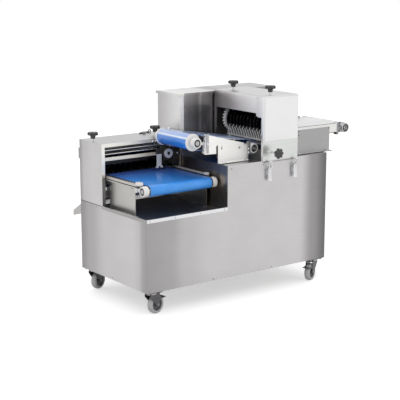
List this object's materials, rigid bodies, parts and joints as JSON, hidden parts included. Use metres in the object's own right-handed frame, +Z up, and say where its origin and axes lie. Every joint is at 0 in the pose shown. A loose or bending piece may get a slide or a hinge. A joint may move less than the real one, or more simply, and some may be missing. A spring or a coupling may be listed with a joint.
{
  "type": "meat dicing machine",
  "caption": "Stepped stainless cabinet on castors with an infeed belt, a head of round knives, a sloping and a lower blue belt, a second knife housing and a rear chute.",
  "frame": {"origin": "middle of the whole machine's footprint, on the floor", "axes": "+X to the right towards the infeed belt's free end, +Y to the back, +Z up"},
  "size_m": [1.481, 0.837, 1.164],
  "materials": {
    "stainless": "brushed stainless sheet, satin",
    "knife_steel": "ground hardened steel",
    "blue_belt": "smooth blue food belt, slight gloss",
    "white_belt": "smooth white food belt",
    "knob_plastic": "moulded black plastic, fine grain",
    "wheel_rubber": "grey solid rubber tread",
    "painted_casting": "painted cast housing, eggshell"
  },
  "bodies": {
    "machine": {"cabinet_floor": "stainless", "cabinet_shell": "stainless", "dice_comb": "knife_steel", "discharge_chute": "stainless", "drive_box": "stainless", "drive_roof": "stainless", "gearmotor": "painted_casting", "guard_bars": "stainless", "infeed_belt": "white_belt", "infeed_plate_front": "stainless", "infeed_plate_rear": "stainless", "infeed_support": "stainless", "infeed_take_up_front": "stainless", "infeed_take_up_rear": "stainless", "knife_head": "stainless", "latch_base_left": "stainless", "latch_base_right": "stainless", "lower_belt": "blue_belt", "lower_housing": "stainless", "lower_plate_left": "stainless", "lower_plate_right": "stainless", "lower_take_up_left": "stainless", "lower_take_up_right": "stainless", "rear_panel": "stainless", "rim_strip": "stainless", "strip_comb": "knife_steel", "upper_belt": "blue_belt", "upper_plate_front": "stainless", "upper_plate_rear": "stainless", "upper_support": "stainless", "upper_take_up_front": "stainless", "upper_take_up_rear": "stainless"},
    "castor_front_left": {"castor_fork_front_left": "stainless"},
    "wheel_front_left": {"castor_wheel_front_left": "wheel_rubber"},
    "castor_front_right": {"castor_fork_front_right": "stainless"},
    "wheel_front_right": {"castor_wheel_front_right": "wheel_rubber"},
    "castor_rear_left": {"castor_fork_rear_left": "stainless"},
    "wheel_rear_left": {"castor_wheel_rear_left": "wheel_rubber"},
    "castor_rear_right": {"castor_fork_rear_right": "stainless"},
    "wheel_rear_right": {"castor_wheel_rear_right": "wheel_rubber"},
    "strip_knives": {"strip_knife_shaft": "knife_steel"},
    "strip_bed": {"strip_bed_roller": "stainless"},
    "drive_shaft": {"countershaft": "stainless"},
    "dice_knives": {"dice_knife_shaft": "knife_steel"},
    "dice_bed": {"dice_bed_roller": "stainless"},
    "upper_drop": {"upper_drop_roller": "stainless"},
    "upper_drive": {"upper_drive_roller": "stainless"},
    "infeed_outer": {"infeed_outer_roller": "stainless"},
    "infeed_inner": {"infeed_inner_roller": "stainless"},
    "lower_front": {"lower_front_roller": "stainless"},
    "lower_rear": {"lower_rear_roller": "stainless"},
    "feed_knob_left_body": {"feed_knob_left": "knob_plastic"},
    "feed_knob_right_body": {"feed_knob_right": "knob_plastic"},
    "knife_knob_rear_body": {"knife_knob_rear": "knob_plastic"},
    "knife_knob_front_body": {"knife_knob_front": "knob_plastic"},
    "lock_knob_body": {"lock_knob": "knob_plastic"},
    "lever_left": {"latch_lever_left": "stainless"},
    "bail_left": {"latch_bail_left": "stainless"},
    "lever_right": {"latch_lever_right": "stainless"},
    "bail_right": {"latch_bail_right": "stainless"}
  },
  "joints": [
    {"name": "castor_swivel_front_left", "type": "hinge", "parent": "machine", "child": "castor_front_left", "pos_m": [-0.6745, -0.2985, 0.13], "axis": [0, 0, 1], "continuous": true},
    {"name": "wheel_spin_front_left", "type": "hinge", "parent": "castor_front_left", "child": "wheel_front_left", "pos_m": [-0.64141, -0.30987, 0.05], "axis": [-0.2079, 0.9781, 0], "continuous": true},
    {"name": "castor_swivel_front_right", "type": "hinge", "parent": "machine", "child": "castor_front_right", "pos_m": [0.4655, -0.2985, 0.13], "axis": [0, 0, 1], "continuous": true},
    {"name": "wheel_spin_front_right", "type": "hinge", "parent": "castor_front_right", "child": "wheel_front_right", "pos_m": [0.4307, -0.29486, 0.05], "axis": [0.4226, -0.9063, 0], "continuous": true},
    {"name": "castor_swivel_rear_left", "type": "hinge", "parent": "machine", "child": "castor_rear_left", "pos_m": [-0.6745, 0.2715, 0.13], "axis": [0, 0, 1], "continuous": true},
    {"name": "wheel_spin_rear_left", "type": "hinge", "parent": "castor_rear_left", "child": "wheel_rear_left", "pos_m": [-0.63994, 0.26605, 0.05], "axis": [-0.3746, 0.9272, 0], "continuous": true},
    {"name": "castor_swivel_rear_right", "type": "hinge", "parent": "machine", "child": "castor_rear_right", "pos_m": [0.4655, 0.2715, 0.13], "axis": [0, 0, 1], "continuous": true},
    {"name": "wheel_spin_rear_right", "type": "hinge", "parent": "castor_rear_right", "child": "wheel_rear_right", "pos_m": [0.43908, 0.29444, 0.05], "axis": [-0.1736, -0.9848, 0], "continuous": true},
    {"name": "strip_knife_spin", "type": "hinge", "parent": "machine", "child": "strip_knives", "pos_m": [0.1355, -0.343, 0.945], "axis": [0, 1, 0], "continuous": true},
    {"name": "strip_bed_spin", "type": "hinge", "parent": "machine", "child": "strip_bed", "pos_m": [0.1485, -0.343, 0.828], "axis": [0, 1, 0], "continuous": true},
    {"name": "countershaft_spin", "type": "hinge", "parent": "machine", "child": "drive_shaft", "pos_m": [-0.0895, 0.106, 0.93], "axis": [0, 1, 0], "continuous": true},
    {"name": "dice_knife_spin", "type": "hinge", "parent": "machine", "child": "dice_knives", "pos_m": [-0.726, 0.2315, 0.73], "axis": [1, 0, 0], "continuous": true},
    {"name": "dice_bed_spin", "type": "hinge", "parent": "machine", "child": "dice_bed", "pos_m": [-0.726, 0.2315, 0.633], "axis": [1, 0, 0], "continuous": true},
    {"name": "upper_drop_spin", "type": "hinge", "parent": "machine", "child": "upper_drop", "pos_m": [-0.35646, -0.2675, 0.88098], "axis": [0, 1, 0], "continuous": true},
    {"name": "upper_drive_spin", "type": "hinge", "parent": "machine", "child": "upper_drive", "pos_m": [0.0455, -0.2605, 0.814], "axis": [0, 1, 0], "continuous": true},
    {"name": "infeed_outer_spin", "type": "hinge", "parent": "machine", "child": "infeed_outer", "pos_m": [0.7105, 0.0595, 0.874], "axis": [0, 1, 0], "continuous": true},
    {"name": "infeed_inner_spin", "type": "hinge", "parent": "machine", "child": "infeed_inner", "pos_m": [0.2555, 0.0595, 0.874], "axis": [0, 1, 0], "continuous": true},
    {"name": "lower_front_spin", "type": "hinge", "parent": "machine", "child": "lower_front", "pos_m": [-0.2225, -0.2435, 0.653], "axis": [1, 0, 0], "continuous": true},
    {"name": "lower_rear_spin", "type": "hinge", "parent": "machine", "child": "lower_rear", "pos_m": [-0.2225, 0.1565, 0.653], "axis": [1, 0, 0], "continuous": true},
    {"name": "feed_knob_left_turn", "type": "hinge", "parent": "machine", "child": "feed_knob_left_body", "pos_m": [-0.7125, 0.1995, 0.845], "axis": [0, 0, 1], "continuous": true},
    {"name": "feed_knob_right_turn", "type": "hinge", "parent": "machine", "child": "feed_knob_right_body", "pos_m": [-0.3015, 0.1995, 0.845], "axis": [0, 0, 1], "continuous": true},
    {"name": "knife_knob_rear_turn", "type": "hinge", "parent": "machine", "child": "knife_knob_rear_body", "pos_m": [0.1155, 0.0135, 1.09], "axis": [0, 0, 1], "continuous": true},
    {"name": "knife_knob_front_turn", "type": "hinge", "parent": "machine", "child": "knife_knob_front_body", "pos_m": [0.1155, -0.3135, 1.09], "axis": [0, 0, 1], "continuous": true},
    {"name": "lock_knob_turn", "type": "hinge", "parent": "machine", "child": "lock_knob_body", "pos_m": [0.1035, -0.3365, 0.798], "axis": [0, -1, 0], "continuous": true},
    {"name": "latch_lever_left_swing", "type": "hinge", "parent": "machine", "child": "lever_left", "pos_m": [0.0815, -0.3535, 0.716], "axis": [-1, 0, 0], "range_deg": [0, 90]},
    {"name": "latch_bail_left_swing", "type": "hinge", "parent": "lever_left", "child": "bail_left", "pos_m": [0.0815, -0.3655, 0.716], "axis": [-1, 0, 0], "range_deg": [-90, 0]},
    {"name": "latch_lever_right_swing", "type": "hinge", "parent": "machine", "child": "lever_right", "pos_m": [0.2665, -0.3535, 0.716], "axis": [-1, 0, 0], "range_deg": [0, 90]},
    {"name": "latch_bail_right_swing", "type": "hinge", "parent": "lever_right", "child": "bail_right", "pos_m": [0.2665, -0.3655, 0.716], "axis": [-1, 0, 0], "range_deg": [-90, 0]}
  ],
  "couplings": [
    {"joint": "strip_bed_spin", "follows": "strip_knife_spin", "ratio": -1.4706},
    {"joint": "countershaft_spin", "follows": "strip_knife_spin", "ratio": 1},
    {"joint": "dice_knife_spin", "follows": "strip_knife_spin", "ratio": 1},
    {"joint": "dice_bed_spin", "follows": "strip_knife_spin", "ratio": -1.5673},
    {"joint": "upper_drop_spin", "follows": "strip_knife_spin", "ratio": -1.3851},
    {"joint": "upper_drive_spin", "follows": "strip_knife_spin", "ratio": -1.3851},
    {"joint": "infeed_outer_spin", "follows": "strip_knife_spin", "ratio": -1.9853},
    {"joint": "infeed_inner_spin", "follows": "strip_knife_spin", "ratio": -1.9853},
    {"joint": "lower_front_spin", "follows": "strip_knife_spin", "ratio": -1.9853},
    {"joint": "lower_rear_spin", "follows": "strip_knife_spin", "ratio": -1.9853},
    {"joint": "latch_bail_left_swing", "follows": "latch_lever_left_swing", "ratio": -1},
    {"joint": "latch_bail_right_swing", "follows": "latch_lever_right_swing", "ratio": -1}
  ]
}
